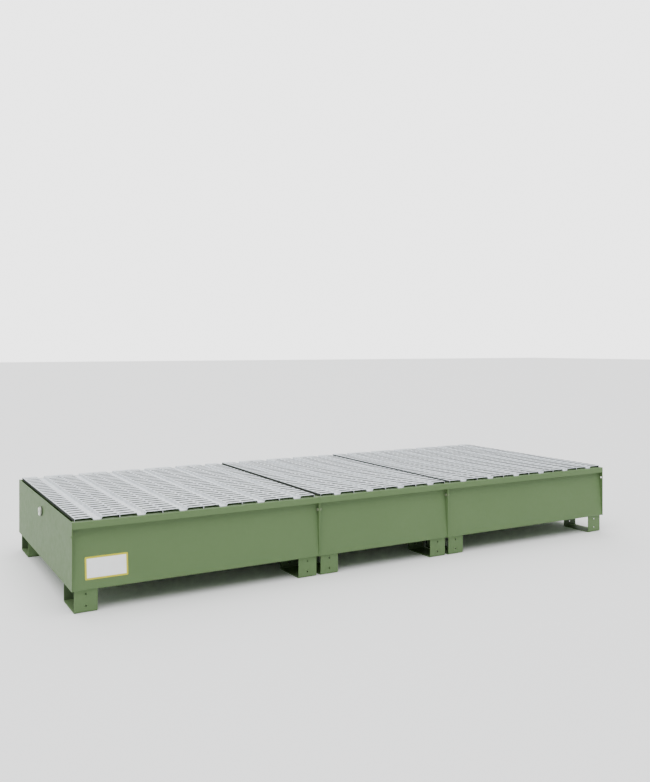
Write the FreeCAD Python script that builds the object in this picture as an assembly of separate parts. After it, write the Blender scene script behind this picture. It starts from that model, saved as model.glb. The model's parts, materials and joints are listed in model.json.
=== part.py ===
import FreeCAD, Part
import math
import os

from FreeCAD import Vector

# Spill containment pallet: three sump modules bolted end to end, each a folded
# sheet tub between two end plates, on four bent feet, with lift-out deck planks.
# Millimetres. +X runs along the length, +Y to the back, +Z up.
# Origin: centre of the overall box, on the floor.

# ---------------------------------------------------------------- dimensions
MODULE_NAMES = ["left", "middle", "right"]
MODULE_LENGTHS = [1200.0, 800.0, 1200.0]   # along X
MODULE_PLANKS = [6, 4, 6]                  # deck planks on each module
DEPTH = 1300.0                             # overall, along Y

FOOT_HEIGHT = 97.0       # floor to the underside of the tubs
TUB_HEIGHT = 294.0       # underside of the tub to the rim
DECK_RISE = 13.0         # rim to the top of the planks

SHEET = 3.0              # tub sheet
END_T = 3.0              # end plate
LIP_HEIGHT = 30.0        # turned-down lip of the long sides
RIM_DEPTH = 29.0         # the wall's set-back under the rim
BASE_DEPTH = 3.0         # the wall's set-back at the bottom
BEND = 3.0               # flat across a bend, outside

FOOT_WIDTH = 100.0       # along X
FOOT_DEPTH = 200.0       # along Y
FOOT_T = 4.0
FOOT_INSET_X = 12.0      # from the module's end
FOOT_INSET_Y = 13.0      # from the long side
FOOT_BEND = 6.0
FOOT_HOLE_R = 4.25
FOOT_HOLES_DOWN = [18.0, 69.0]   # below the underside of the tub

PLANK_WIDTH = 192.9
PLANK_START = [13.5, 11.2, 19.0]       # first plank's edge, from its module's end
PLANK_PITCH = [193.8, 193.5, 193.5]    # on each module
PLANK_FRONT_GAP = 12.0   # plank's front end to the face of the lip
PLANK_BACK_GAP = 22.0    # plank's back end to the face of the lip
PLANK_T = 1.5
PLANK_STRIP = 75.5       # each raised strip
PLANK_SLANT = 5.0        # horizontal run of the valley's sides
PLANK_BEND = 1.2
SLOT_LENGTH = 66.0       # along X
SLOT_WIDTH = 20.0        # along Y
SLOT_CORNER = 4.0
SLOT_FIRST = 27.0        # centre of the first row, from the plank's front end
SLOT_PITCH = 51.2
SLOT_ROWS = 24

BEARER_WIDTH = 60.0
BEARER_HEIGHT = 80.0
BEARER_T = 4.0
BEARER_Y = 216.0         # the two bearers of a module lie at -Y and +Y
COPE_LENGTH = 25.0       # the bearers' upper corners are cut away at both ends
COPE_DEPTH = 30.0

LINK_DOWN = 63.0         # joining holes and overflow port, below the rim
LINK_EDGE = 12.0         # joining holes, from the end plate's edge
LINK_HOLE_R = 5.5
BOLT_R = 4.0
BOLT_AF = 13.0
BOLT_HEAD = 5.3
NUT_HEIGHT = 6.5
NUT_BORE_R = 4.1
WASHER_R = 8.0
WASHER_HOLE_R = 4.2
WASHER_T = 1.6
BOLT_END = 3.0           # shank past the nut

PORT_HOLE_R = 20.0
PLUG_R = 19.7
PLUG_HEAD_R = 22.0
PLUG_HEAD_T = 9.0
PLUG_GRIP = 22.0         # shank length under the seal
PLUG_KEY_AF = 17.0
PLUG_KEY_DEEP = 6.0
SEAL_R = 23.0
SEAL_BORE_R = 19.75
SEAL_T = 5.0
SOCKET_R = 29.0
SOCKET_T = 16.0

LABEL_LENGTH = 186.0
LABEL_HEIGHT = 97.0
LABEL_T = 0.8
LABEL_X = 150.0          # centre, from the left module's end
LABEL_DOWN = 204.0       # centre, below the rim

# ------------------------------------------------------------------- derived
LENGTH = sum(MODULE_LENGTHS)
PROUD = PLUG_HEAD_T + SEAL_T               # the plug stands this far out
X_LEFT = -(LENGTH - PROUD) / 2.0           # left face of the first end plate
H = DEPTH / 2.0
BASE_Z = FOOT_HEIGHT
RIM_Z = BASE_Z + TUB_HEIGHT
LINK_Z = RIM_Z - LINK_DOWN
PLANK_Y0 = -H + PLANK_FRONT_GAP
PLANK_Y1 = H - PLANK_BACK_GAP

EDGES = [X_LEFT]
for length in MODULE_LENGTHS:
    EDGES.append(EDGES[-1] + length)

WRITTEN = []


def write(shape, node):
    """One node, one file."""
    if not shape.isValid():
        raise RuntimeError(node + ": invalid shape")
    for solid in shape.Solids:
        if solid.Volume <= 0:
            raise RuntimeError(node + ": empty solid")
    shape.exportStep("parts/" + node + ".step")
    WRITTEN.append(node)
    box = shape.BoundBox
    print("%-28s solids %2d faces %4d volume %10.0f  x %8.1f %8.1f  y %7.1f %7.1f  z %6.1f %6.1f" % (
        node, len(shape.Solids), len(shape.Faces), shape.Volume,
        box.XMin, box.XMax, box.YMin, box.YMax, box.ZMin, box.ZMax))


def prism(points, direction):
    """Closed outline through the points, pushed along direction."""
    wire = Part.makePolygon([Vector(*p) for p in points] + [Vector(*points[0])])
    return Part.Face(wire).extrude(Vector(*direction))


def section_x(points_yz, x0, x1):
    """Outline in the YZ plane, pushed along X."""
    return prism([(x0, y, z) for y, z in points_yz], (x1 - x0, 0, 0))


def cylinder_x(radius, x0, x1, y, z):
    return Part.makeCylinder(radius, x1 - x0, Vector(x0, y, z), Vector(1, 0, 0))


def ring_x(outer, inner, x0, x1, y, z):
    return cylinder_x(outer, x0, x1, y, z).cut(cylinder_x(inner, x0 - 1, x1 + 1, y, z))


def hexagon_x(across, x0, x1, y, z):
    r = across / math.sqrt(3.0)
    points = [(y + r * math.cos(math.radians(60 * i + 30)),
               z + r * math.sin(math.radians(60 * i + 30))) for i in range(6)]
    return section_x(points, x0, x1)


# --------------------------------------------------------------- tub section
def wall_y(z):
    """Outside face of the front wall at height z: it leans out to the bottom."""
    share = (RIM_Z - z) / TUB_HEIGHT
    return -H + RIM_DEPTH + (BASE_DEPTH - RIM_DEPTH) * share


def tub_outline():
    """Lip, rim, leaning wall, bottom, and the same again at the back."""
    lean = math.hypot(TUB_HEIGHT, RIM_DEPTH - BASE_DEPTH) / TUB_HEIGHT
    ty = SHEET * lean
    inner = BEND - SHEET * (2 - math.sqrt(2)) + SHEET * 0.2
    front_in = [
        (-H, RIM_Z - LIP_HEIGHT),
        (-H, RIM_Z - BEND),
        (-H + BEND, RIM_Z),
        (wall_y(RIM_Z) + ty - BEND, RIM_Z),
        (wall_y(RIM_Z - BEND) + ty, RIM_Z - BEND),
        (wall_y(BASE_Z + SHEET + inner) + ty, BASE_Z + SHEET + inner),
        (wall_y(BASE_Z + SHEET) + ty + inner, BASE_Z + SHEET),
    ]
    front_out = [
        (wall_y(BASE_Z) + BEND, BASE_Z),
        (wall_y(BASE_Z + BEND), BASE_Z + BEND),
        (wall_y(RIM_Z - SHEET - inner), RIM_Z - SHEET - inner),
        (wall_y(RIM_Z - SHEET) - inner, RIM_Z - SHEET),
        (-H + SHEET + inner, RIM_Z - SHEET),
        (-H + SHEET, RIM_Z - SHEET - inner),
        (-H + SHEET, RIM_Z - LIP_HEIGHT),
    ]
    back_in = [(-y, z) for y, z in reversed(front_in)]
    back_out = [(-y, z) for y, z in reversed(front_out)]
    return front_in + back_in + back_out + front_out


# ---------------------------------------------------------------------- foot
def foot(x0, side):
    """Flat bar bent into a U: two legs across the pallet's depth and a sole."""
    c = FOOT_BEND
    ci = c - FOOT_T * (2 - math.sqrt(2))
    y0 = -H + FOOT_INSET_Y
    y1 = y0 + FOOT_DEPTH
    t = FOOT_T
    points = [
        (y0, BASE_Z), (y0, c), (y0 + c, 0), (y1 - c, 0), (y1, c), (y1, BASE_Z),
        (y1 - t, BASE_Z), (y1 - t, t + ci), (y1 - t - ci, t),
        (y0 + t + ci, t), (y0 + t, t + ci), (y0 + t, BASE_Z),
    ]
    if side == "back":
        points = [(-y, z) for y, z in reversed(points)]
    body = section_x(points, x0, x0 + FOOT_WIDTH)
    xc = x0 + FOOT_WIDTH / 2.0
    low = min(p[0] for p in points) - 1
    high = max(p[0] for p in points) + 1
    for down in FOOT_HOLES_DOWN:
        body = body.cut(Part.makeCylinder(FOOT_HOLE_R, high - low, Vector(xc, low, BASE_Z - down), Vector(0, 1, 0)))
    return body


# --------------------------------------------------------------------- plank
def plank():
    """Pressed deck plank: edge flange, slotted strip, plain valley, slotted
    strip, edge flange. Its lowest faces lie at z = 0, its left edge at x = 0."""
    w, h, t, a, s, c = PLANK_WIDTH, DECK_RISE, PLANK_T, PLANK_STRIP, PLANK_SLANT, PLANK_BEND
    drop = h - t
    across = t * math.hypot(drop, s) / drop

    def under(z):
        return a + s * (h - z) / drop - across

    half = [
        (0, 0), (0, h - c), (c, h), (a, h), (a + s, t),
    ]
    inner = [(under(0), 0), (under(drop), drop), (t, drop), (t, 0)]
    points = half + [(w - x, z) for x, z in reversed(half)]
    points += [(w - x, z) for x, z in reversed(inner)] + inner
    body = prism([(x, PLANK_Y0, z) for x, z in points], (0, PLANK_Y1 - PLANK_Y0, 0))
    tools = []
    k = SLOT_CORNER
    hx, hy = SLOT_LENGTH / 2.0, SLOT_WIDTH / 2.0
    first = PLANK_Y0 + SLOT_FIRST
    for xc in (a / 2.0, w - a / 2.0):
        for row in range(SLOT_ROWS):
            yc = first + row * SLOT_PITCH
            outline = [(-hx + k, -hy), (hx - k, -hy), (hx, -hy + k), (hx, hy - k),
                       (hx - k, hy), (-hx + k, hy), (-hx, hy - k), (-hx, -hy + k)]
            tools.append(prism([(xc + x, yc + y, drop - 1) for x, y in outline], (0, 0, t + 2)))
    return body.cut(Part.makeCompound(tools))


# -------------------------------------------------------------------- bearer
def bearer(x0, x1, yc):
    """Folded channel, open below, that carries the planks inside the tub. Its
    top is coped at both ends, so it meets the end plates with its webs only."""
    b, t, c = BEARER_WIDTH / 2.0, BEARER_T, BEARER_T
    top, low = RIM_Z, RIM_Z - BEARER_HEIGHT
    ci = c - t * (2 - math.sqrt(2))
    points = [
        (yc - b, low), (yc - b, top - c), (yc - b + c, top), (yc + b - c, top), (yc + b, top - c), (yc + b, low),
        (yc + b - t, low), (yc + b - t, top - t - ci), (yc + b - t - ci, top - t),
        (yc - b + t + ci, top - t), (yc - b + t, top - t - ci), (yc - b + t, low),
    ]
    body = section_x(points, x0, x1)
    for xa, xb in ((x0 - 1, x0 + COPE_LENGTH), (x1 - COPE_LENGTH, x1 + 1)):
        body = body.cut(Part.makeBox(xb - xa, 4 * b, COPE_DEPTH + 1, Vector(xa, yc - 2 * b, top - COPE_DEPTH)))
    return body


# --------------------------------------------------------------------- build
os.makedirs("parts", exist_ok=True)

outline = tub_outline()
master_plank = plank()
count = 0
for i, name in enumerate(MODULE_NAMES):
    x0, x1 = EDGES[i], EDGES[i + 1]

    write(section_x(outline, x0 + END_T, x1 - END_T), "tub_" + name)

    for side, xa in (("left", x0), ("right", x1 - END_T)):
        plate = Part.makeBox(END_T, DEPTH, TUB_HEIGHT, Vector(xa, -H, BASE_Z))
        for y in (-H + LINK_EDGE, H - LINK_EDGE):
            plate = plate.cut(cylinder_x(LINK_HOLE_R, xa - 1, xa + END_T + 1, y, LINK_Z))
        if i == 0 and side == "left":
            plate = plate.cut(cylinder_x(PORT_HOLE_R, xa - 1, xa + END_T + 1, 0, LINK_Z))
        write(plate, "end_plate_%s_%s" % (name, side))

    for end, xf in (("left", x0 + FOOT_INSET_X), ("right", x1 - FOOT_INSET_X - FOOT_WIDTH)):
        for side in ("front", "back"):
            write(foot(xf, side), "foot_%s_%s_%s" % (name, side, end))

    for side, yc in (("front", -BEARER_Y), ("back", BEARER_Y)):
        write(bearer(x0 + END_T, x1 - END_T, yc), "bearer_%s_%s" % (name, side))

    for k in range(MODULE_PLANKS[i]):
        count += 1
        one = master_plank.copy()
        one.translate(Vector(x0 + PLANK_START[i] + k * PLANK_PITCH[i], 0, RIM_Z))
        write(one, "deck_plank_%02d" % count)

# joining bolts: one at the front and one at the back of each seam
bolts, nuts, washers = [], [], []
for seam in EDGES[1:-1]:
    for y in (-H + LINK_EDGE, H - LINK_EDGE):
        xa = seam - END_T - WASHER_T
        xb = seam + END_T + WASHER_T
        head = hexagon_x(BOLT_AF, xa - BOLT_HEAD, xa, y, LINK_Z)
        shank = cylinder_x(BOLT_R, xa, xb + NUT_HEIGHT + BOLT_END, y, LINK_Z)
        bolts.append(head.fuse(shank).removeSplitter())
        nuts.append(hexagon_x(BOLT_AF, xb, xb + NUT_HEIGHT, y, LINK_Z).cut(
            cylinder_x(NUT_BORE_R, xb - 1, xb + NUT_HEIGHT + 1, y, LINK_Z)))
        washers.append(ring_x(WASHER_R, WASHER_HOLE_R, xa, xa + WASHER_T, y, LINK_Z))
        washers.append(ring_x(WASHER_R, WASHER_HOLE_R, xb - WASHER_T, xb, y, LINK_Z))
write(Part.makeCompound(bolts), "joining_bolts")
write(Part.makeCompound(nuts), "joining_nuts")
write(Part.makeCompound(washers), "joining_washers")

# overflow port in the left end plate: socket inside, seal and plug outside
write(ring_x(SOCKET_R, PORT_HOLE_R, X_LEFT + END_T, X_LEFT + END_T + SOCKET_T, 0, LINK_Z), "port_socket")
write(ring_x(SEAL_R, SEAL_BORE_R, X_LEFT - SEAL_T, X_LEFT, 0, LINK_Z), "port_seal")
head = cylinder_x(PLUG_HEAD_R, X_LEFT - PROUD, X_LEFT - SEAL_T, 0, LINK_Z)
head = head.cut(hexagon_x(PLUG_KEY_AF, X_LEFT - PROUD - 1, X_LEFT - PROUD + PLUG_KEY_DEEP, 0, LINK_Z))
shank = cylinder_x(PLUG_R, X_LEFT - SEAL_T - 0.5, X_LEFT - SEAL_T + PLUG_GRIP, 0, LINK_Z)
write(head.fuse(shank).removeSplitter(), "port_plug")

# blank label plate on the front of the left tub, flat on the leaning wall
zc = RIM_Z - LABEL_DOWN
slope = math.atan2(RIM_DEPTH - BASE_DEPTH, TUB_HEIGHT)
up = Vector(0, math.sin(slope), math.cos(slope))
out = Vector(0, -math.cos(slope), math.sin(slope))
mid = Vector(X_LEFT + LABEL_X, wall_y(zc), zc)
along = Vector(1, 0, 0)
corners = []
for sx, sz in ((-1, -1), (1, -1), (1, 1), (-1, 1)):
    corners.append(mid + along * (sx * LABEL_LENGTH / 2.0) + up * (sz * LABEL_HEIGHT / 2.0))
face = Part.Face(Part.makePolygon(corners + [corners[0]]))
write(face.extrude(out * LABEL_T), "blank_label")

print(len(WRITTEN), "nodes; rim", RIM_Z, "top", RIM_Z + DECK_RISE, "left", X_LEFT - PROUD, "right", EDGES[-1])
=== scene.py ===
"""Looks of the spill containment pallet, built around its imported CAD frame."""
import json
import math

import bmesh
import bpy
from mathutils import Matrix, Vector


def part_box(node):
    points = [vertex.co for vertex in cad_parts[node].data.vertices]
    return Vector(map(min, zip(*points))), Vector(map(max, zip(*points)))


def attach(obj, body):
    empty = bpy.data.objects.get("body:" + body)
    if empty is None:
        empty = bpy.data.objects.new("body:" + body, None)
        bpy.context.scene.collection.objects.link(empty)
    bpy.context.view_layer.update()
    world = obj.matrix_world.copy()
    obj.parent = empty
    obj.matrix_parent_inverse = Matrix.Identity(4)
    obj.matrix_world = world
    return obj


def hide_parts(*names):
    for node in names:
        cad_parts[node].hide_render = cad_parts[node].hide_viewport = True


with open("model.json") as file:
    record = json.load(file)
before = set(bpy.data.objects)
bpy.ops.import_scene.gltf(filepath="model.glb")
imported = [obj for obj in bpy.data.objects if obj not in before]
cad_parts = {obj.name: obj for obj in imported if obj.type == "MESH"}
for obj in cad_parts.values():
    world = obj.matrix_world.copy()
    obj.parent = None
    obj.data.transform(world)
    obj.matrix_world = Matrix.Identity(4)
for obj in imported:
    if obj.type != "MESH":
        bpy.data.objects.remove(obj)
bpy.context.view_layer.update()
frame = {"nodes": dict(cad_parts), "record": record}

NODES = frame["nodes"]
BODY_OF = {}
for body, members in frame["record"]["behaviour"]["bodies"].items():
    for member in members:
        BODY_OF[member] = body

MM = 0.001
MODULES = ("left", "middle", "right")
NO_FINISH = []


# ------------------------------------------------------------------ materials
def node_material(name):
    mat = bpy.data.materials.new(name)
    mat.use_nodes = True
    nt = mat.node_tree
    nt.nodes.clear()
    out = nt.nodes.new("ShaderNodeOutputMaterial")
    bsdf = nt.nodes.new("ShaderNodeBsdfPrincipled")
    nt.links.new(bsdf.outputs["BSDF"], out.inputs["Surface"])
    return mat, nt, bsdf


def object_coords(nt, scale=(1, 1, 1)):
    tc = nt.nodes.new("ShaderNodeTexCoord")
    mp = nt.nodes.new("ShaderNodeMapping")
    mp.inputs["Scale"].default_value = scale
    nt.links.new(tc.outputs["Object"], mp.inputs["Vector"])
    return mp.outputs["Vector"]


def noise(nt, vector, scale, detail=2.0, rough=0.5):
    n = nt.nodes.new("ShaderNodeTexNoise")
    n.inputs["Scale"].default_value = scale
    n.inputs["Detail"].default_value = detail
    n.inputs["Roughness"].default_value = rough
    nt.links.new(vector, n.inputs["Vector"])
    return n.outputs["Fac"]


def ramp(nt, value, stops):
    r = nt.nodes.new("ShaderNodeValToRGB")
    el = r.color_ramp.elements
    while len(el) < len(stops):
        el.new(0.5)
    for e, (pos, col) in zip(el, stops):
        e.position = pos
        e.color = (*col, 1.0) if len(col) == 3 else col
    nt.links.new(value, r.inputs["Fac"])
    return r.outputs["Color"]


def map_range(nt, value, low, high, a=0.0, b=1.0):
    m = nt.nodes.new("ShaderNodeMapRange")
    m.inputs["From Min"].default_value = a
    m.inputs["From Max"].default_value = b
    m.inputs["To Min"].default_value = low
    m.inputs["To Max"].default_value = high
    nt.links.new(value, m.inputs["Value"])
    return m.outputs["Result"]


def mix(nt, fac, a, b, mode="MIX"):
    m = nt.nodes.new("ShaderNodeMix")
    m.data_type = "RGBA"
    m.blend_type = mode
    for sock, val in ((m.inputs[0], fac), (m.inputs[6], a), (m.inputs[7], b)):
        if hasattr(val, "is_output"):
            nt.links.new(val, sock)
        elif isinstance(val, (int, float)):
            sock.default_value = val
        else:
            sock.default_value = (*val, 1.0)
    return m.outputs[2]


def bump(nt, bsdf, height, strength, distance, chain=None):
    b = nt.nodes.new("ShaderNodeBump")
    b.inputs["Strength"].default_value = strength
    b.inputs["Distance"].default_value = distance
    nt.links.new(height, b.inputs["Height"])
    if chain is not None:
        nt.links.new(chain, b.inputs["Normal"])
    nt.links.new(b.outputs["Normal"], bsdf.inputs["Normal"])
    return b.outputs["Normal"]


GREEN = (0.103, 0.169, 0.068)


def powder_coat(name, g, dust):
    """Satin powder coat: fine orange peel, faint cloudiness, a little dust on
    what faces up."""
    mat, nt, bsdf = node_material(name)
    v = object_coords(nt)
    cloud = noise(nt, v, 2.2, 3.0, 0.55)
    fine = noise(nt, v, 38.0, 3.0, 0.6)
    speck = noise(nt, v, 900.0, 1.0, 0.5)
    base = ramp(nt, cloud, [
        (0.30, (g[0] * 0.965, g[1] * 0.970, g[2] * 0.960)),
        (0.55, g),
        (0.75, (g[0] * 1.045, g[1] * 1.035, g[2] * 1.060)),
    ])
    base = mix(nt, map_range(nt, fine, 0.0, 0.10, 0.35, 0.75), base, (g[0] * 0.88, g[1] * 0.90, g[2] * 0.88))
    base = mix(nt, map_range(nt, speck, 0.0, 0.10, 0.45, 0.70), base, (g[0] * 1.25, g[1] * 1.22, g[2] * 1.30))
    geo = nt.nodes.new("ShaderNodeNewGeometry")
    sep = nt.nodes.new("ShaderNodeSeparateXYZ")
    nt.links.new(geo.outputs["Normal"], sep.inputs["Vector"])
    upward = map_range(nt, sep.outputs["Z"], 0.0, 0.07, 0.55, 1.0)
    base = mix(nt, upward, base, dust)
    nt.links.new(base, bsdf.inputs["Base Color"])
    nt.links.new(map_range(nt, fine, 0.50, 0.62, 0.3, 0.7), bsdf.inputs["Roughness"])
    bsdf.inputs["Specular IOR Level"].default_value = 0.27
    peel = noise(nt, v, 330.0, 2.0, 0.5)
    bump(nt, bsdf, peel, 0.10, 0.0006)
    return mat


def galvanised(name, tint=(0.615, 0.652, 0.684), cell=70.0):
    """Hot-dip zinc: spangle crystals, soft run streaks, mottled dulling."""
    mat, nt, bsdf = node_material(name)
    v = object_coords(nt)
    warp = nt.nodes.new("ShaderNodeTexNoise")
    warp.inputs["Scale"].default_value = 30.0
    warp.inputs["Detail"].default_value = 2.0
    nt.links.new(v, warp.inputs["Vector"])
    add = nt.nodes.new("ShaderNodeVectorMath")
    add.operation = "MULTIPLY_ADD"
    add.inputs[1].default_value = (0.012, 0.012, 0.012)
    nt.links.new(warp.outputs["Color"], add.inputs[0])
    nt.links.new(v, add.inputs[2])
    vor = nt.nodes.new("ShaderNodeTexVoronoi")
    vor.inputs["Scale"].default_value = cell
    nt.links.new(add.outputs["Vector"], vor.inputs["Vector"])
    sep = nt.nodes.new("ShaderNodeSeparateColor")
    nt.links.new(vor.outputs["Color"], sep.inputs["Color"])
    t = tint
    base = ramp(nt, sep.outputs["Red"], [
        (0.0, (t[0] * 0.82, t[1] * 0.825, t[2] * 0.835)),
        (0.45, (t[0] * 0.97, t[1] * 0.97, t[2] * 0.97)),
        (1.0, (t[0] * 1.15, t[1] * 1.145, t[2] * 1.14)),
    ])
    dull = noise(nt, v, 6.0, 4.0, 0.6)
    base = mix(nt, map_range(nt, dull, 0.0, 0.45, 0.35, 0.75), base, (t[0] * 0.78, t[1] * 0.785, t[2] * 0.80))
    white = noise(nt, v, 18.0, 4.0, 0.65)
    base = mix(nt, map_range(nt, white, 0.0, 0.30, 0.58, 0.80), base, (0.75, 0.77, 0.78))
    nt.links.new(base, bsdf.inputs["Base Color"])
    bsdf.inputs["Metallic"].default_value = 0.38
    rough = nt.nodes.new("ShaderNodeMath")
    rough.operation = "ADD"
    nt.links.new(map_range(nt, sep.outputs["Green"], 0.30, 0.46), rough.inputs[0])
    nt.links.new(map_range(nt, dull, 0.0, 0.12, 0.3, 0.7), rough.inputs[1])
    nt.links.new(rough.outputs["Value"], bsdf.inputs["Roughness"])
    grain = noise(nt, v, 420.0, 2.0, 0.5)
    n1 = bump(nt, bsdf, sep.outputs["Blue"], 0.05, 0.0004)
    bump(nt, bsdf, grain, 0.08, 0.0003, n1)
    return mat


def zinc_edge_shade():
    """Turned-down and cut edges: the same zinc, darkened as painted shade, and matt."""
    mat, nt, bsdf = node_material("zinc_edge_painted_shade")
    v = object_coords(nt)
    patch = noise(nt, v, 55.0, 3.0, 0.6)
    nt.links.new(ramp(nt, patch, [(0.3, (0.046, 0.053, 0.044)), (0.7, (0.074, 0.083, 0.070))]), bsdf.inputs["Base Color"])
    nt.links.new(map_range(nt, patch, 0.70, 0.85, 0.3, 0.7), bsdf.inputs["Roughness"])
    bsdf.inputs["Specular IOR Level"].default_value = 0.12
    bump(nt, bsdf, noise(nt, v, 500.0, 2.0, 0.5), 0.12, 0.0002)
    return mat


def zinc_plate(name, tints, ring, metal):
    mat, nt, bsdf = node_material(name)
    v = object_coords(nt)
    stain = noise(nt, v, 60.0, 3.0, 0.6)
    turn = noise(nt, object_coords(nt, (40.0, 900.0, 900.0)), 1.0, 2.0, 0.5)
    base = ramp(nt, stain, [(0.3, tints[0]), (0.6, tints[1]), (0.8, tints[2])])
    base = mix(nt, map_range(nt, turn, 0.0, 0.25, 0.4, 0.8), base, ring)
    nt.links.new(base, bsdf.inputs["Base Color"])
    bsdf.inputs["Metallic"].default_value = metal
    nt.links.new(map_range(nt, stain, 0.24, 0.40, 0.3, 0.7), bsdf.inputs["Roughness"])
    bump(nt, bsdf, turn, 0.06, 0.0002)
    return mat


def rubber():
    mat, nt, bsdf = node_material("seal_rubber_black")
    v = object_coords(nt)
    bloom = noise(nt, v, 120.0, 3.0, 0.6)
    nt.links.new(ramp(nt, bloom, [(0.35, (0.030, 0.034, 0.026)), (0.75, (0.062, 0.068, 0.052))]), bsdf.inputs["Base Color"])
    nt.links.new(map_range(nt, bloom, 0.60, 0.78, 0.3, 0.7), bsdf.inputs["Roughness"])
    bump(nt, bsdf, noise(nt, v, 1500.0, 2.0, 0.5), 0.15, 0.0002)
    return mat


def label_face(lo, hi, name, border):
    """Blank laminated plate: pale field inside a plain coloured border."""
    mat, nt, bsdf = node_material(name)
    tc = nt.nodes.new("ShaderNodeTexCoord")
    sep = nt.nodes.new("ShaderNodeSeparateXYZ")
    nt.links.new(tc.outputs["Object"], sep.inputs["Vector"])
    masks = []
    for out, a, b in (("X", lo[0], hi[0]), ("Z", lo[2], hi[2])):
        mid, half = (a + b) / 2, (b - a) / 2
        sub = nt.nodes.new("ShaderNodeMath")
        sub.operation = "SUBTRACT"
        nt.links.new(sep.outputs[out], sub.inputs[0])
        sub.inputs[1].default_value = mid
        ab = nt.nodes.new("ShaderNodeMath")
        ab.operation = "ABSOLUTE"
        nt.links.new(sub.outputs["Value"], ab.inputs[0])
        masks.append(map_range(nt, ab.outputs["Value"], 0.0, 1.0, half - border, half - border + 0.0006))
    mx = nt.nodes.new("ShaderNodeMath")
    mx.operation = "MAXIMUM"
    nt.links.new(masks[0], mx.inputs[0])
    nt.links.new(masks[1], mx.inputs[1])
    v = object_coords(nt)
    age = noise(nt, v, 25.0, 3.0, 0.6)
    field = ramp(nt, age, [(0.3, (0.88, 0.89, 0.89)), (0.7, (0.93, 0.94, 0.94))])
    edge = ramp(nt, age, [(0.3, (0.50, 0.46, 0.006)), (0.7, (0.58, 0.53, 0.012))])
    nt.links.new(mix(nt, mx.outputs["Value"], field, edge), bsdf.inputs["Base Color"])
    nt.links.new(map_range(nt, age, 0.30, 0.42, 0.3, 0.7), bsdf.inputs["Roughness"])
    bump(nt, bsdf, noise(nt, v, 240.0, 2.0, 0.5), 0.04, 0.0002)
    return mat


def weld_paint(green):
    """Powder coat over a weld: the same colour, coarser surface."""
    mat = green.copy()
    mat.name = "powder_coat_on_weld"
    nt = mat.node_tree
    bsdf = next(n for n in nt.nodes if n.type == "BSDF_PRINCIPLED")
    old = bsdf.inputs["Normal"].links[0].from_socket
    v = object_coords(nt)
    bump(nt, bsdf, noise(nt, v, 260.0, 3.0, 0.6), 0.35, 0.0012, old)
    return mat


M_GREEN = powder_coat("powder_coat_green", GREEN, (0.29, 0.32, 0.25))
# a darker copy of the green for the insides of the feet's legs: painted shade
M_SHADED_GREEN = powder_coat("powder_coat_painted_shade", tuple(c * k for c, k in zip(GREEN, (0.56, 0.56, 0.60))), (0.190, 0.225, 0.145))
M_WELD = weld_paint(M_GREEN)
M_GALV = galvanised("hot_dip_zinc")
# a lighter copy of the zinc for the valley's slanted sides: painted highlight
M_SLANT_HIGHLIGHT = galvanised("hot_dip_zinc_painted_highlight", (0.80, 0.84, 0.87))
M_ZINC = zinc_plate("zinc_plate_olive", ((0.205, 0.245, 0.150), (0.260, 0.300, 0.195), (0.235, 0.280, 0.190)), (0.175, 0.210, 0.130), 0.40)
# plug: a pale zinc face, brightened further as a painted highlight; its sides a darker copy as painted shade
M_PLUG = zinc_plate("zinc_plate_painted_highlight", ((0.92, 0.97, 0.86), (0.95, 0.99, 0.90), (0.93, 0.98, 0.90)), (0.84, 0.90, 0.78), 0.25)
M_PLUG_SIDE_SHADE = zinc_plate("zinc_plate_painted_shade", ((0.40, 0.43, 0.36), (0.47, 0.50, 0.43), (0.44, 0.47, 0.42)), (0.36, 0.39, 0.33), 0.35)
M_EDGE_SHADE = zinc_edge_shade()
M_RUBBER = rubber()


# --------------------------------------------------------------- mesh helpers
def obj_from_bm(name, bm, mat, smooth=True):
    mesh = bpy.data.meshes.new(name)
    bm.normal_update()
    bm.to_mesh(mesh)
    bm.free()
    mesh.materials.append(mat)
    ob = bpy.data.objects.new(name, mesh)
    bpy.context.scene.collection.objects.link(ob)
    if smooth:
        for p in mesh.polygons:
            p.use_smooth = True
        mesh.set_sharp_from_angle(angle=math.radians(32))
    return ob


def apply_modifiers(ob):
    dg = bpy.context.evaluated_depsgraph_get()
    new = bpy.data.meshes.new_from_object(ob.evaluated_get(dg), depsgraph=dg)
    old = ob.data
    ob.modifiers.clear()
    ob.data = new
    bpy.data.meshes.remove(old)
    for p in ob.data.polygons:
        p.use_smooth = True
    ob.data.set_sharp_from_angle(angle=math.radians(32))
    return settle(ob)


def settle(ob):
    """Large faces keep their own normal, so flats stay flat beside bevels."""
    m = ob.modifiers.new("flats", "WEIGHTED_NORMAL")
    m.mode = "FACE_AREA"
    m.weight = 50
    m.keep_sharp = True
    dg = bpy.context.evaluated_depsgraph_get()
    new = bpy.data.meshes.new_from_object(ob.evaluated_get(dg), depsgraph=dg)
    old = ob.data
    ob.modifiers.clear()
    ob.data = new
    bpy.data.meshes.remove(old)
    return ob


def bevel(ob, width, segments=2, angle=38):
    m = ob.modifiers.new("bevel", "BEVEL")
    m.width = width
    m.segments = segments
    m.limit_method = "ANGLE"
    m.angle_limit = math.radians(angle)
    m.harden_normals = False
    m.use_clamp_overlap = True
    return m


def place(ob, body, slot, *nodes):
    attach(ob, body)
    if nodes:
        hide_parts(*nodes)
    return ob


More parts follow.
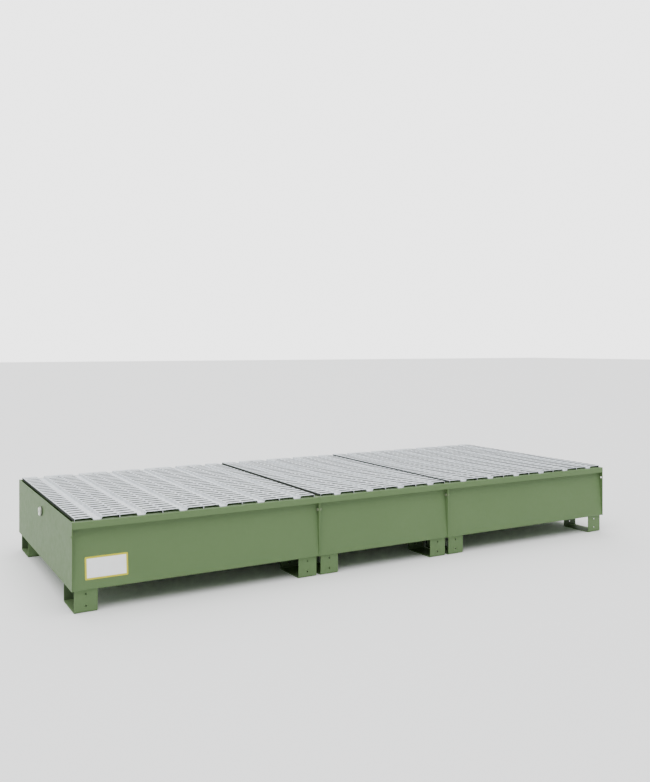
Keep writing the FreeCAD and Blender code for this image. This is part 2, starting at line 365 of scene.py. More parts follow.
def rounded_path(points, radius, steps=5):
    """The open path through the points with each corner turned by an arc.
    radius is one number, or one per inner point."""
    pts = [Vector(p) for p in points]
    out = [pts[0]]
    for i in range(1, len(pts) - 1):
        r = radius[i - 1] if isinstance(radius, (list, tuple)) else radius
        a, b, c = pts[i - 1], pts[i], pts[i + 1]
        u, w = (a - b).normalized(), (c - b).normalized()
        ang = u.angle(w)
        if r <= 0 or ang > math.pi - 1e-3:
            out.append(b)
            continue
        t = r / math.tan(ang / 2)
        t = min(t, (a - b).length * 0.49, (c - b).length * 0.49)
        r = t * math.tan(ang / 2)
        centre = b + (u + w).normalized() * (r / math.sin(ang / 2))
        s, e = b + u * t, b + w * t
        turn = math.pi - ang
        v0 = s - centre
        sign = 1.0 if (v0.x * (e - centre).y - v0.y * (e - centre).x) > 0 else -1.0
        for k in range(steps + 1):
            th = sign * turn * k / steps
            out.append(centre + Vector((v0.x * math.cos(th) - v0.y * math.sin(th),
                                        v0.x * math.sin(th) + v0.y * math.cos(th))))
    out.append(pts[-1])
    return out


def offset_path(path, d):
    """The path moved d to its left, corner by corner."""
    out = []
    n = len(path)
    for i in range(n):
        if i == 0:
            t = (path[1] - path[0]).normalized()
            nrm = Vector((-t.y, t.x))
            out.append(path[0] + nrm * d)
        elif i == n - 1:
            t = (path[-1] - path[-2]).normalized()
            out.append(path[-1] + Vector((-t.y, t.x)) * d)
        else:
            t0 = (path[i] - path[i - 1]).normalized()
            t1 = (path[i + 1] - path[i]).normalized()
            n0, n1 = Vector((-t0.y, t0.x)), Vector((-t1.y, t1.x))
            m = (n0 + n1)
            m.normalize()
            out.append(path[i] + m * (d / max(0.3, m.dot(n0))))
    return out


def folded_sheet(name, path, thickness, stations, to_xyz, mat):
    """A sheet folded along path (2D), thickness to the left of it, carried
    through the stations. to_xyz(u, v, s) places a point."""
    a = path
    b = offset_path(path, thickness)
    ring = list(a) + list(reversed(b))
    bm = bmesh.new()
    rows = []
    for s in stations:
        rows.append([bm.verts.new(to_xyz(p.x, p.y, s)) for p in ring])
    n = len(ring)
    for r0, r1 in zip(rows, rows[1:]):
        for i in range(n):
            j = (i + 1) % n
            bm.faces.new((r0[i], r0[j], r1[j], r1[i]))
    m = len(a)
    for row, flip in ((rows[0], False), (rows[-1], True)):
        for i in range(m - 1):
            quad = [row[i], row[n - 1 - i], row[n - 2 - i], row[i + 1]]
            bm.faces.new(list(reversed(quad)) if flip else quad)
    bmesh.ops.recalc_face_normals(bm, faces=bm.faces)
    return obj_from_bm(name, bm, mat)


def cutter(name, bm):
    mesh = bpy.data.meshes.new(name)
    bm.to_mesh(mesh)
    bm.free()
    ob = bpy.data.objects.new(name, mesh)
    bpy.context.scene.collection.objects.link(ob)
    return ob


def cyl_bm(bm, r, p0, p1, seg=28):
    """Closed cylinder from p0 to p1 added to bm."""
    p0, p1 = Vector(p0), Vector(p1)
    rot = (p1 - p0).to_track_quat("Z", "Y").to_matrix().to_4x4()
    mat = Matrix.Translation((p0 + p1) / 2) @ rot
    bmesh.ops.create_cone(bm, cap_ends=True, cap_tris=False, segments=seg, radius1=r, radius2=r,
                          depth=(p1 - p0).length, matrix=mat)


def subtract(ob, tool):
    m = ob.modifiers.new("cut", "BOOLEAN")
    m.operation = "DIFFERENCE"
    m.solver = "EXACT"
    m.object = tool
    return m


def lathe_x(name, profile, x_dir, centre, mat, seg=48):
    """Profile of (along, radius) pairs turned about the X axis through centre."""
    bm = bmesh.new()
    rings = []
    for along, r in profile:
        if r < 1e-7:
            rings.append([bm.verts.new((centre[0] + x_dir * along, centre[1], centre[2]))])
        else:
            rings.append([bm.verts.new((centre[0] + x_dir * along,
                                        centre[1] + r * math.cos(2 * math.pi * k / seg),
                                        centre[2] + r * math.sin(2 * math.pi * k / seg))) for k in range(seg)])
    for a, b in zip(rings, rings[1:]):
        for k in range(seg):
            j = (k + 1) % seg
            if len(a) == 1 and len(b) == 1:
                continue
            if len(a) == 1:
                bm.faces.new((a[0], b[k], b[j]))
            elif len(b) == 1:
                bm.faces.new((a[k], b[0], a[j]))
            else:
                bm.faces.new((a[k], b[k], b[j], a[j]))
    bmesh.ops.recalc_face_normals(bm, faces=bm.faces)
    return obj_from_bm(name, bm, mat)


# ------------------------------------------------------- sizes, as in the CAD
SHEET, END_T, LIP, RIM_DEPTH, BASE_DEPTH = 3 * MM, 3 * MM, 30 * MM, 29 * MM, 3 * MM
FOOT_T, BEARER_T = 4 * MM, 4 * MM
PLANK_T, STRIP, SLANT = 1.5 * MM, 75.5 * MM, 5 * MM
SLOT_L, SLOT_W, SLOT_R = 66 * MM, 20 * MM, 4 * MM
SLOT_FIRST, SLOT_PITCH, SLOT_ROWS = 27 * MM, 51.2 * MM, 24
COPE_LENGTH, COPE_DEPTH = 25 * MM, 30 * MM

lo_tub, hi_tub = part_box("tub_left")
H = hi_tub.y
BASE_Z, RIM_Z = lo_tub.z, hi_tub.z
TUB_H = RIM_Z - BASE_Z


def wall_y(z):
    share = (RIM_Z - z) / TUB_H
    return -H + RIM_DEPTH + (BASE_DEPTH - RIM_DEPTH) * share


LEAN = math.hypot(TUB_H, RIM_DEPTH - BASE_DEPTH) / TUB_H


# ------------------------------------------------------------------ weld bead
def bead(bm, p0, p1, d1, d2, size, seed=0, ends=True):
    """Fillet weld along p0-p1 in the corner of two faces, d1 and d2 pointing
    along the faces away from the corner. Added to bm."""
    p0, p1, d1, d2 = Vector(p0), Vector(p1), Vector(d1).normalized(), Vector(d2).normalized()
    length = (p1 - p0).length
    step = 0.0022
    n = max(4, int(length / step))
    axis = (p1 - p0) / n
    rows = []
    for i in range(n + 1):
        ph = (i + seed * 7) * 2 * math.pi / 4.0
        wob = 1 + 0.05 * math.sin((i + seed * 13) * 0.11) + 0.03 * math.sin((i + seed * 5) * 0.37)
        r = size * wob
        lift = 1 + 0.10 * math.sin(ph)
        if ends:
            edge = min(i, n - i)
            if edge < 3:
                r *= (0.35, 0.75, 0.93)[edge]
        c = p0 + axis * i
        pts = [c + d1 * r]
        for a in (0.25, 0.5, 0.75):
            q = d1 * ((1 - a) * r) + d2 * (a * r)
            out = (d1 + d2).normalized()
            pts.append(c + q + out * (r * 0.16 * math.sin(a * math.pi) * lift))
        pts.append(c + d2 * r)
        pts.append(c + (d1 + d2) * (-0.0002))
        rows.append([bm.verts.new(p) for p in pts])
    m = len(rows[0])
    for a, b in zip(rows, rows[1:]):
        for k in range(m):
            j = (k + 1) % m
            bm.faces.new((a[k], a[j], b[j], b[k]))
    bm.faces.new(list(reversed(rows[0])))
    bm.faces.new(rows[-1])


# ------------------------------------------------------------------- the tubs
def build_tub(name):
    lo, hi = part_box("tub_" + name)
    y_in = wall_y(RIM_Z) + SHEET * LEAN
    y_bot = wall_y(BASE_Z + SHEET) + SHEET * LEAN
    front = [(-H, RIM_Z - LIP), (-H, RIM_Z), (y_in, RIM_Z), (y_bot, BASE_Z + SHEET)]
    pts = front + [(-y, z) for y, z in reversed(front)]
    r = [5 * MM, 5 * MM, 2.5 * MM, 2.5 * MM, 5 * MM, 5 * MM]
    path = rounded_path(pts, r, 6)
    ob = folded_sheet("sump_tub_" + name, path, -SHEET, [lo.x, hi.x], lambda u, v, s: (s, u, v), M_GREEN)
    bevel(ob, 0.5 * MM, 1, 60)
    apply_modifiers(ob)
    place(ob, "root", "painted_green", "tub_" + name)
    # weld beads inside, where the tub's walls and floor meet its end plates
    bm = bmesh.new()
    seed = 1
    for xe, dx in ((lo.x, 1), (hi.x, -1)):
        for s in (-1, 1):
            ya, yb = abs(wall_y(BASE_Z + SHEET)) - SHEET * LEAN, abs(wall_y(RIM_Z)) - SHEET * LEAN
            lean_dir = Vector((0, 1 * (-s), 0.09))
            bead(bm, (xe, s * ya, BASE_Z + SHEET + 4 * MM), (xe, s * yb, RIM_Z - 6 * MM),
                 (dx, 0, 0), (0, -s, 0.05), 3.2 * MM, seed)
            seed += 1
        ya = abs(wall_y(BASE_Z + SHEET)) - SHEET * LEAN
        bead(bm, (xe, -ya + 3 * MM, BASE_Z + SHEET), (xe, ya - 3 * MM, BASE_Z + SHEET),
             (dx, 0, 0), (0, 0, 1), 3.2 * MM, seed)
        seed += 1
    bmesh.ops.recalc_face_normals(bm, faces=bm.faces)
    place(obj_from_bm("sump_welds_" + name, bm, M_WELD), "root", "painted_green")


# -------------------------------------------------------------- the end plates
def build_end_plate(name, side):
    node = "end_plate_%s_%s" % (name, side)
    lo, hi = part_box(node)
    bm = bmesh.new()
    bmesh.ops.create_cube(bm, size=1.0, matrix=Matrix.Translation((lo + hi) / 2) @ Matrix.Diagonal((*(hi - lo), 1)))
    ob = obj_from_bm("plate_%s_%s" % (name, side), bm, M_GREEN, smooth=False)
    link_z = RIM_Z - 63 * MM
    cb = bmesh.new()
    for y in (lo.y + 12 * MM, hi.y - 12 * MM):
        cyl_bm(cb, 5.5 * MM, (lo.x - 0.01, y, link_z), (hi.x + 0.01, y, link_z), 32)
    if name == "left" and side == "left":
        cyl_bm(cb, 20 * MM, (lo.x - 0.01, 0, link_z), (hi.x + 0.01, 0, link_z), 64)
    tool = cutter("tool_" + node, cb)
    subtract(ob, tool)
    bevel(ob, 0.7 * MM, 2, 50)
    apply_modifiers(ob)
    bpy.data.objects.remove(tool)
    place(ob, "root", "painted_green", node)


# -------------------------------------------------------------------- the feet
def foot_mesh():
    lo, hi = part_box("foot_left_front_left")
    d, w, h = hi.y - lo.y, hi.x - lo.x, hi.z - lo.z
    path = rounded_path([(-d / 2, h), (-d / 2, 0), (d / 2, 0), (d / 2, h)], 8 * MM, 7)
    ob = folded_sheet("foot_master", path, FOOT_T, [-w / 2, w / 2], lambda u, v, s: (s, u, v), M_GREEN)
    cb = bmesh.new()
    for down in (18 * MM, 69 * MM):
        cyl_bm(cb, 4.25 * MM, (0, -d, h - down), (0, d, h - down), 28)
    tool = cutter("tool_foot", cb)
    subtract(ob, tool)
    bevel(ob, 0.6 * MM, 2, 50)
    apply_modifiers(ob)
    bpy.data.objects.remove(tool)
    mesh = ob.data
    mesh.name = "foot"
    # the legs' inner faces take the darker copy: painted shade where the tub shades them
    mesh.materials.append(M_SHADED_GREEN)
    for p in mesh.polygons:
        c = p.center
        if abs(c.y) < d / 2 - FOOT_T * 0.6 and c.z > FOOT_T * 1.5 and abs(p.normal.x) < 0.5:
            p.material_index = 1
    bpy.data.objects.remove(ob)
    # the beads that hold it to the tub, as a second mesh in the same frame
    bm = bmesh.new()
    for i, (y, dy) in enumerate(((-d / 2, -1), (d / 2, 1))):
        bead(bm, (-w / 2 + 2 * MM, y, h), (w / 2 - 2 * MM, y, h), (0, dy, 0), (0, 0, -1), 3.4 * MM, i + 1)
    for i, (y, dy) in enumerate(((-d / 2 + FOOT_T, 1), (d / 2 - FOOT_T, -1))):
        bead(bm, (-w / 2 + 8 * MM, y, h), (w / 2 - 8 * MM, y, h), (0, dy, 0), (0, 0, -1), 3.0 * MM, i + 5)
    bmesh.ops.recalc_face_normals(bm, faces=bm.faces)
    wob = obj_from_bm("foot_bead_master", bm, M_WELD)
    wmesh = wob.data
    bpy.data.objects.remove(wob)
    return mesh, wmesh


def build_feet():
    mesh, wmesh = foot_mesh()
    for name in MODULES:
        for side in ("front", "back"):
            for end in ("left", "right"):
                node = "foot_%s_%s_%s" % (name, side, end)
                lo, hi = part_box(node)
                at = ((lo.x + hi.x) / 2, (lo.y + hi.y) / 2, lo.z)
                for label, data, nodes in (("support", mesh, (node,)), ("support_weld", wmesh, ())):
                    ob = bpy.data.objects.new("%s_%s_%s_%s" % (label, name, side, end), data)
                    bpy.context.scene.collection.objects.link(ob)
                    ob.location = at
                    place(ob, "root", "painted_green", *nodes)


# ----------------------------------------------------------------- the bearers
def build_bearer(name, side):
    node = "bearer_%s_%s" % (name, side)
    lo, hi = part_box(node)
    path = rounded_path([(lo.y, lo.z), (lo.y, hi.z), (hi.y, hi.z), (hi.y, lo.z)], 7 * MM, 6)
    ob = folded_sheet("beam_%s_%s" % (name, side), path, -BEARER_T, [lo.x, hi.x], lambda u, v, s: (s, u, v), M_GREEN)
    cb = bmesh.new()
    for xa, xb in ((lo.x - 0.01, lo.x + COPE_LENGTH), (hi.x - COPE_LENGTH, hi.x + 0.01)):
        a, b = Vector((xa, lo.y - 0.01, hi.z - COPE_DEPTH)), Vector((xb, hi.y + 0.01, hi.z + 0.01))
        bmesh.ops.create_cube(cb, size=1.0, matrix=Matrix.Translation((a + b) / 2) @ Matrix.Diagonal((*(b - a), 1)))
    tool = cutter("tool_" + node, cb)
    subtract(ob, tool)
    bevel(ob, 0.6 * MM, 1, 60)
    apply_modifiers(ob)
    bpy.data.objects.remove(tool)
    place(ob, "root", "painted_green", node)
    bm = bmesh.new()
    for i, (x, dx) in enumerate(((lo.x, 1), (hi.x, -1))):
        for j, (y, dy) in enumerate(((lo.y, -1), (hi.y, 1))):
            bead(bm, (x, y, lo.z + 4 * MM), (x, y, hi.z - COPE_DEPTH - 3 * MM), (dx, 0, 0), (0, dy, 0), 3.2 * MM, i * 2 + j)
    bmesh.ops.recalc_face_normals(bm, faces=bm.faces)
    place(obj_from_bm("beam_welds_%s_%s" % (name, side), bm, M_WELD), "root", "painted_green")


# ------------------------------------------------------------------ the planks
def plank_mesh():
    lo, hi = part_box("deck_plank_01")
    w, length, h = hi.x - lo.x, hi.y - lo.y, hi.z - lo.z
    t, a, s = PLANK_T, STRIP, SLANT
    pts = [(0, 0), (0, h), (a, h), (a + s, t), (w - a - s, t), (w - a, h), (w, h), (w, 0)]
    steps = 4
    path = rounded_path(pts, [2.4 * MM, 2.6 * MM, 2.0 * MM, 2.0 * MM, 2.6 * MM, 2.4 * MM], steps)
    hx, hy, rc = SLOT_L / 2, SLOT_W / 2, SLOT_R
    arc = [math.radians(x) for x in (30, 60, 90)]
    half = sorted({round(hy - rc + rc * math.sin(x), 7) for x in arc} | {round(hy - rc, 7), round(SLOT_PITCH / 2, 7)})
    cell = [-y for y in reversed(half)] + half
    first = -length / 2 + SLOT_FIRST
    ys = [-length / 2]
    for row in range(SLOT_ROWS):
        c = first + row * SLOT_PITCH
        for y in cell:
            if not ys or y + c > ys[-1] + 1e-6:
                ys.append(y + c)
    ys.append(length / 2)
    bm = bmesh.new()
    grid = [[bm.verts.new((p.x, y, p.y)) for p in path] for y in ys]
    # the flat top of each strip is the one long run at height h
    wide = [i for i in range(len(path) - 1)
            if abs(path[i].y - h) < 1e-6 and abs(path[i + 1].y - h) < 1e-6 and path[i + 1].x - path[i].x > 0.04]
    n = len(path)
    cells = {}
    for row in range(SLOT_ROWS):
        c = first + row * SLOT_PITCH
        i0 = min(range(len(ys)), key=lambda k: abs(ys[k] - (c - SLOT_PITCH / 2)))
        i1 = min(range(len(ys)), key=lambda k: abs(ys[k] - (c + SLOT_PITCH / 2)))
        cells[row] = (c, i0, i1)
    for j in range(len(ys) - 1):
        for i in range(n - 1):
            if i in wide:
                continue
            bm.faces.new((grid[j][i], grid[j][i + 1], grid[j + 1][i + 1], grid[j + 1][i]))
    for i in wide:
        xc = a / 2 if path[i].x < w / 2 else w - a / 2
        xl, xr = xc - (hx - rc), xc + (hx - rc)
        line = {}

        def cross(j):
            if j not in line:
                line[j] = [grid[j][i], bm.verts.new((xl, ys[j], h)), bm.verts.new((xr, ys[j], h)), grid[j][i + 1]]
            return line[j]

        for row in range(SLOT_ROWS):
            c, i0, i1 = cells[row]
            lower, upper = cross(i0), cross(i1)
            js = list(range(i0 + 1, i1))           # stations along the slot's own height
            right, left = [], []
            for j in js:
                y = ys[j] - c
                over = max(0.0, abs(y) - (hy - rc))
                dx = math.sqrt(max(0.0, rc * rc - over * over))
                if abs(abs(y) - hy) < 1e-6:
                    dx = 0.0
                right.append(bm.verts.new((xr + dx, ys[j], h)))
                left.append(bm.verts.new((xl - dx, ys[j], h)))
            for k in range(len(js) - 1):
                bm.faces.new((right[k], grid[js[k]][i + 1], grid[js[k + 1]][i + 1], right[k + 1]))
                bm.faces.new((grid[js[k]][i], left[k], left[k + 1], grid[js[k + 1]][i]))
            # corners and the bands before and after the slot
            bm.faces.new((lower[1], lower[2], right[0], left[0]))
            bm.faces.new((left[-1], right[-1], upper[2], upper[1]))
            bm.faces.new((lower[0], lower[1], left[0], grid[js[0]][i]))
            bm.faces.new((lower[2], lower[3], grid[js[0]][i + 1], right[0]))
            bm.faces.new((grid[js[-1]][i], left[-1], upper[1], upper[0]))
            bm.faces.new((right[-1], grid[js[-1]][i + 1], upper[3], upper[2]))
        ends = ((0, cells[0][1]), (cells[SLOT_ROWS - 1][2], len(ys) - 1))
        for j0, j1 in ends:
            if j1 > j0:
                p, q = cross(j0), cross(j1)
                for k in range(3):
                    bm.faces.new((p[k], p[k + 1], q[k + 1], q[k]))
    bmesh.ops.remove_doubles(bm, verts=bm.verts, dist=1e-6)
    bm.normal_update()
    up = sum(f.normal.z for f in bm.faces if abs(f.normal.z) > 0.5)
    if up < 0:
        bmesh.ops.reverse_faces(bm, faces=bm.faces)
    ob = obj_from_bm("plank_master", bm, M_GALV)
    m = ob.modifiers.new("sheet", "SOLIDIFY")
    m.thickness = t
    m.offset = -1.0
    m.use_even_offset = True
    m.use_rim = True
    apply_modifiers(ob)
    mesh = ob.data
    mesh.name = "deck_plank"
    # flange sides and slot walls take the dark zinc: painted shade
    mesh.materials.append(M_EDGE_SHADE)
    mesh.materials.append(M_SLANT_HIGHLIGHT)     # the valley's sides: a lighter copy of the same zinc, a painted highlight
    for p in mesh.polygons:
        c = p.center
        cut = min(abs(c.x - a / 2), abs(c.x - (w - a / 2))) < hx + 0.2 * MM and abs(c.y) < length / 2 - 1 * MM \
            and abs(p.normal.z) < 0.4 and h - t - 0.2 * MM < c.z < h + 0.1 * MM
        if abs(p.normal.x) > 0.95 or cut:
            p.material_index = 1
        elif 0.80 < abs(p.normal.x) and a < c.x < w - a:
            p.material_index = 2
    bpy.data.objects.remove(ob)
    return mesh


def build_planks():
    mesh = plank_mesh()
    for k in range(16):
        node = "deck_plank_%02d" % (k + 1)
        lo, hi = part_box(node)
        ob = bpy.data.objects.new("grating_plank_%02d" % (k + 1), mesh)
        bpy.context.scene.collection.objects.link(ob)
        ob.location = (lo.x, (lo.y + hi.y) / 2, lo.z)
        place(ob, BODY_OF[node], "galvanised_steel", node)


# --------------------------------------------------------------- the fasteners
def hex_r(theta, across):
    """Radius of a hexagon, flats across, at angle theta."""
    k = (theta - math.radians(30)) % math.radians(60) - math.radians(30)
    return across / 2 / math.cos(k)


def hex_ring(bm, x, y, z, across, seg, factor=1.0, cap=None, trim=None, x_dir=1):
    ring = []
    for k in range(seg):
        th = 2 * math.pi * k / seg
        r = hex_r(th + math.radians(30), across) * factor
        xx = x
        if trim is not None:
            xx = x - x_dir * max(0.0, r - trim) * math.tan(math.radians(30))
        if cap is not None:
            r = min(r, cap)
        ring.append(bm.verts.new((xx, y + r * math.cos(th), z + r * math.sin(th))))
    return ring


def circle_ring(bm, x, y, z, r, seg):
    return [bm.verts.new((x, y + r * math.cos(2 * math.pi * k / seg), z + r * math.sin(2 * math.pi * k / seg)))
            for k in range(seg)]


def join_rings(bm, rings, close_start=None, close_end=None):
    seg = len(rings[0])
    for a, b in zip(rings, rings[1:]):
        for k in range(seg):
            j = (k + 1) % seg
            bm.faces.new((a[k], b[k], b[j], a[j]))
    for ring, centre in ((rings[0], close_start), (rings[-1], close_end)):
        if centre is not None:
            c = bm.verts.new(centre)
            for k in range(seg):
                bm.faces.new((ring[k], ring[(k + 1) % seg], c))


def build_fasteners():
    seg = 48
    link_z = RIM_Z - 63 * MM
    seams = [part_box("end_plate_left_right")[1].x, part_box("end_plate_middle_right")[1].x]
    bolts, nuts, washers = bmesh.new(), bmesh.new(), bmesh.new()
    af, head, nut_h, wt = 13 * MM, 5.3 * MM, 6.5 * MM, 1.6 * MM
    for seam in seams:
        for y in (-H + 12 * MM, H - 12 * MM):
            xa, xb = seam - END_T - wt, seam + END_T + wt
            # head: washer face, hexagon with turned corners, dished top
            rings = [circle_ring(bolts, xa, y, link_z, 6.0 * MM, seg),
                     circle_ring(bolts, xa - 0.4 * MM, y, link_z, 6.0 * MM, seg),
                     hex_ring(bolts, xa - 0.4 * MM, y, link_z, af, seg, cap=7.4 * MM),
                     hex_ring(bolts, xa - head, y, link_z, af, seg, trim=6.25 * MM, x_dir=-1, cap=7.4 * MM),
                     circle_ring(bolts, xa - head, y, link_z, 6.1 * MM, seg),
                     circle_ring(bolts, xa - head + 0.20 * MM, y, link_z, 4.4 * MM, seg),
                     circle_ring(bolts, xa - head + 0.30 * MM, y, link_z, 2.0 * MM, seg)]
            join_rings(bolts, rings, close_end=(xa - head + 0.30 * MM, y, link_z))
            # shank with a rolled thread on the part that carries the nut
            prof = [(xa, 4.0), (xb - 0.5 * MM, 4.0)]
            x = xb
            while x < xb + nut_h + 2.0 * MM:
                prof += [(x, 3.95), (x + 0.62 * MM, 3.3)]
                x += 1.25 * MM
            prof += [(xb + nut_h + 2.5 * MM, 3.4), (xb + nut_h + 3.0 * MM, 2.9)]
            rings = [circle_ring(bolts, px, y, link_z, pr * MM, seg) for px, pr in prof]
            join_rings(bolts, rings, close_start=(xa, y, link_z), close_end=(xb + nut_h + 3.0 * MM, y, link_z))
            rings = [circle_ring(nuts, xb, y, link_z, 4.1 * MM, seg),
                     circle_ring(nuts, xb, y, link_z, 6.1 * MM, seg),
                     hex_ring(nuts, xb, y, link_z, af, seg, trim=6.25 * MM, x_dir=-1, cap=7.4 * MM),
                     hex_ring(nuts, xb + nut_h, y, link_z, af, seg, trim=6.25 * MM, x_dir=1, cap=7.4 * MM),
                     circle_ring(nuts, xb + nut_h, y, link_z, 6.1 * MM, seg),
                     circle_ring(nuts, xb + nut_h, y, link_z, 4.6 * MM, seg),
                     circle_ring(nuts, xb + nut_h - 0.5 * MM, y, link_z, 4.1 * MM, seg)]
            join_rings(nuts, rings + [rings[0]])
            for x0 in (xa, xb - wt):
                prof = [(0, 4.2), (0, 7.85), (0.15, 8.0), (1.45, 8.0), (1.6, 7.85), (1.6, 4.2)]
                rings = [circle_ring(washers, x0 + px * MM, y, link_z, pr * MM, seg) for px, pr in prof]
                join_rings(washers, rings + [rings[0]])
    for name, bm, node in (("bolt_set", bolts, "joining_bolts"), ("nut_set", nuts, "joining_nuts"),
                           ("washer_set", washers, "joining_washers")):
        bmesh.ops.remove_doubles(bm, verts=bm.verts, dist=1e-7)
        bmesh.ops.recalc_face_normals(bm, faces=bm.faces)
        place(obj_from_bm(name, bm, M_ZINC), "root", "zinc_steel", node)


# --------------------------------------------------------------- overflow port
def build_port():
    seg = 72
    lo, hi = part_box("port_plug")
    y, z = 0.0, (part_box("port_seal")[0].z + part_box("port_seal")[1].z) / 2
    x0 = lo.x
    s_lo, s_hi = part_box("port_seal")
    bm = bmesh.new()
    head_t = s_lo.x - x0
    deep = 6 * MM
    rings = [hex_ring(bm, x0 + deep, y, z, 17 * MM, seg, factor=0.97),
             hex_ring(bm, x0 + 0.8 * MM, y, z, 17 * MM, seg),
             hex_ring(bm, x0, y, z, 18.6 * MM, seg),
             circle_ring(bm, x0, y, z, 14.2 * MM, seg),
             circle_ring(bm, x0 + 0.5 * MM, y, z, 14.7 * MM, seg),
             circle_ring(bm, x0 + 0.5 * MM, y, z, 15.7 * MM, seg),
             circle_ring(bm, x0, y, z, 16.1 * MM, seg),
             circle_ring(bm, x0, y, z, 18.6 * MM, seg),
             circle_ring(bm, x0 + 0.25 * MM, y, z, 19.3 * MM, seg),
             circle_ring(bm, x0 + 2.4 * MM, y, z, 21.6 * MM, seg),
             circle_ring(bm, x0 + 3.0 * MM, y, z, 22.0 * MM, seg),
             circle_ring(bm, x0 + head_t - 1.0 * MM, y, z, 22.0 * MM, seg),
             circle_ring(bm, x0 + head_t, y, z, 21.2 * MM, seg),
             circle_ring(bm, x0 + head_t, y, z, 19.6 * MM, seg)]
    x = x0 + head_t + 8.2 * MM
    rings.append(circle_ring(bm, x, y, z, 19.6 * MM, seg))
    while x < hi.x - 2.5 * MM:
        rings.append(circle_ring(bm, x + 0.4 * MM, y, z, 19.6 * MM, seg))
        rings.append(circle_ring(bm, x + 1.2 * MM, y, z, 18.5 * MM, seg))
        rings.append(circle_ring(bm, x + 2.0 * MM, y, z, 19.6 * MM, seg))
        x += 2.3 * MM
    rings.append(circle_ring(bm, hi.x - 1.0 * MM, y, z, 19.2 * MM, seg))
    rings.append(circle_ring(bm, hi.x, y, z, 18.0 * MM, seg))
    join_rings(bm, rings, close_start=(x0 + deep, y, z), close_end=(hi.x, y, z))
    bmesh.ops.recalc_face_normals(bm, faces=bm.faces)
    plug = obj_from_bm("overflow_plug", bm, M_PLUG)
    settle(plug)
    # faces that don't point along X take the darker copy: painted shade on the plug's sides
    plug.data.materials.append(M_PLUG_SIDE_SHADE)
    for p in plug.data.polygons:
        if abs(p.normal.x) < 0.8:
            p.material_index = 1
    place(plug, BODY_OF["port_plug"], "zinc_steel", "port_plug")

    t = s_hi.x - s_lo.x
    prof = [(0, 19.8), (0, 21.9), (0.12, 22.5), (0.3, 22.85), (0.5, 23.0), (0.7, 22.85), (0.88, 22.5), (1.0, 21.9), (1.0, 19.8)]
    bm = bmesh.new()
    rings = [circle_ring(bm, s_lo.x + a * t, y, z, r * MM, seg) for a, r in prof]
    join_rings(bm, rings + [rings[0]])
    bmesh.ops.recalc_face_normals(bm, faces=bm.faces)
    place(obj_from_bm("overflow_seal_ring", bm, M_RUBBER), BODY_OF["port_seal"], "seal_rubber", "port_seal")

    lo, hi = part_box("port_socket")
    bm = bmesh.new()
    prof = [(0, 20.0), (0, 29.0), (hi.x - lo.x - 1.5 * MM, 29.0), (hi.x - lo.x, 27.5), (hi.x - lo.x, 21.5), (hi.x - lo.x - 1.2 * MM, 20.0)]
    rings = [circle_ring(bm, lo.x + a, y, z, r * MM, seg) for a, r in prof]
    x = hi.x - lo.x - 2.0 * MM
    while x > 2.5 * MM:
        rings.append(circle_ring(bm, lo.x + x, y, z, 20.0 * MM, seg))
        rings.append(circle_ring(bm, lo.x + x - 0.9 * MM, y, z, 20.9 * MM, seg))
        rings.append(circle_ring(bm, lo.x + x - 1.8 * MM, y, z, 20.0 * MM, seg))
        x -= 2.3 * MM
    join_rings(bm, rings + [rings[0]])
    bmesh.ops.recalc_face_normals(bm, faces=bm.faces)
    place(obj_from_bm("overflow_socket", bm, M_GREEN), "root", "painted_green", "port_socket")


# ------------------------------------------------------------------- the label
def build_label():
    lo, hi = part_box("blank_label")
    slope = math.atan2(RIM_DEPTH - BASE_DEPTH, TUB_H)
    length = hi.x - lo.x
    height = 97 * MM
    t = 0.8 * MM
    zc = (lo.z + hi.z) / 2 - 0.5 * t * math.sin(slope)
    mid = Vector(((lo.x + hi.x) / 2, wall_y(RIM_Z - 204 * MM), RIM_Z - 204 * MM))
    up = Vector((0, math.sin(slope), math.cos(slope)))
    out = Vector((0, -math.cos(slope), math.sin(slope)))
    r, steps = 4 * MM, 6
    outline = []
    for sx, sz, a0 in ((1, 1, 0), (-1, 1, 90), (-1, -1, 180), (1, -1, 270)):
        for k in range(steps + 1):
            th = math.radians(a0 + 90 * k / steps)
            outline.append((sx * (length / 2 - r) + r * math.cos(th), sz * (height / 2 - r) + r * math.sin(th)))
    bm = bmesh.new()

    def ring(inset, lift):
        return [bm.verts.new(mid + Vector((1, 0, 0)) * (u * (1 - inset / (length / 2))) + up * (v * (1 - inset / (height / 2)))
                             + out * lift) for u, v in outline]
    rings = [ring(0, 0.0), ring(0, t - 0.2 * MM), ring(0.2 * MM, t), ring(8.0 * MM, t), ring(8.4 * MM, t - 0.15 * MM)]
    n = len(outline)
    for a, b in zip(rings, rings[1:]):
        for k in range(n):
            j = (k + 1) % n
            bm.faces.new((a[k], a[j], b[j], b[k]))
    bm.faces.new(rings[-1])
    bm.faces.new(list(reversed(rings[0])))
    bmesh.ops.recalc_face_normals(bm, faces=bm.faces)
    mat = label_face(lo, hi, "blank_label_face", 8.2 * MM)
    place(settle(obj_from_bm("blank_plate", bm, mat)), "root", "label_grey", "blank_label")


for module in MODULES:
    build_tub(module)
    for s in ("left", "right"):
        build_end_plate(module, s)
    for s in ("front", "back"):
        build_bearer(module, s)
build_feet()
build_planks()
build_fasteners()
build_port()
build_label()


# ------------------------------------------------------- floor, light, camera
floor_mesh = bpy.data.meshes.new("floor")
size = 60.0
floor_mesh.from_pydata([(-size, -size, 0), (size, -size, 0), (size, size, 0), (-size, size, 0)], [], [(0, 1, 2, 3)])
floor = bpy.data.objects.new("floor", floor_mesh)
bpy.context.scene.collection.objects.link(floor)
fmat, fnt, fb = node_material("pale_floor")
fb.inputs["Base Color"].default_value = (0.90, 0.90, 0.90, 1)
fb.inputs["Roughness"].default_value = 0.75
fb.inputs["Specular IOR Level"].default_value = 0.2
floor_mesh.materials.append(fmat)

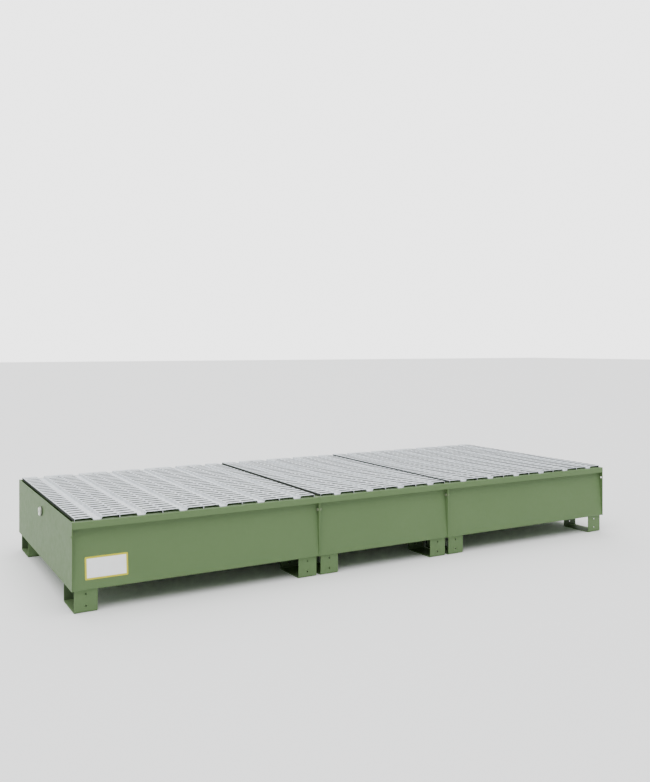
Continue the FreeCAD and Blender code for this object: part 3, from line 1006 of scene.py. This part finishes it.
world = bpy.data.worlds.new("studio")
bpy.context.scene.world = world
world.use_nodes = True
wnt = world.node_tree
wout = next(n for n in wnt.nodes if n.type == "OUTPUT_WORLD")
room = wnt.nodes["Background"]
wtc = wnt.nodes.new("ShaderNodeTexCoord")
wsep = wnt.nodes.new("ShaderNodeSeparateXYZ")
wnt.links.new(wtc.outputs["Generated"], wsep.inputs["Vector"])
wnt.links.new(ramp(wnt, wsep.outputs["Z"], [(0.0, (0.80, 0.82, 0.83)), (0.32, (0.34, 0.35, 0.36))]), room.inputs["Color"])
room.inputs["Strength"].default_value = 1.0
paper = wnt.nodes.new("ShaderNodeBackground")
paper.inputs["Color"].default_value = (1, 1, 1, 1)
paper.inputs["Strength"].default_value = 3.4
seen = wnt.nodes.new("ShaderNodeLightPath")
wmix = wnt.nodes.new("ShaderNodeMixShader")
wnt.links.new(seen.outputs["Is Camera Ray"], wmix.inputs[0])
wnt.links.new(room.outputs["Background"], wmix.inputs[1])
wnt.links.new(paper.outputs["Background"], wmix.inputs[2])
wnt.links.new(wmix.outputs["Shader"], wout.inputs["Surface"])


def soft_sun(name, source, spread, strength, color=(1, 1, 1)):
    """Even light from a wide patch of sky around the direction of source."""
    light = bpy.data.lights.new(name, "SUN")
    light.angle = math.radians(spread)
    light.energy = strength
    light.color = color
    ob = bpy.data.objects.new(name, light)
    ob.location = Vector(source).normalized() * 8
    ob.rotation_euler = Vector(source).to_track_quat("Z", "Y").to_euler()
    bpy.context.scene.collection.objects.link(ob)


soft_sun("overhead", (-0.10, -0.20, 1.0), 80, 4.3)
soft_sun("key_left", (-1.0, -0.30, 0.80), 50, 0.78)
soft_sun("back_rim", (0.25, 1.0, 0.85), 60, 1.7)

cam = bpy.data.cameras.new("camera")
cam_ob = bpy.data.objects.new("camera", cam)
bpy.context.scene.collection.objects.link(cam_ob)
left_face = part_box("end_plate_left_left")[0].x
cam_ob.location = (left_face - 0.78095, -H - 3.51519, 1.13241)
cam_ob.rotation_euler = (math.radians(90), 0, -math.radians(29.76))
cam.lens = 816.16 / 782 * 36.0
cam.sensor_width = 36.0
cam.sensor_fit = "AUTO"
cam.shift_x = 0.0
cam.shift_y = -(391.0 - 347.0) / 782.0
cam.clip_start, cam.clip_end = 0.1, 200
bpy.context.scene.camera = cam_ob
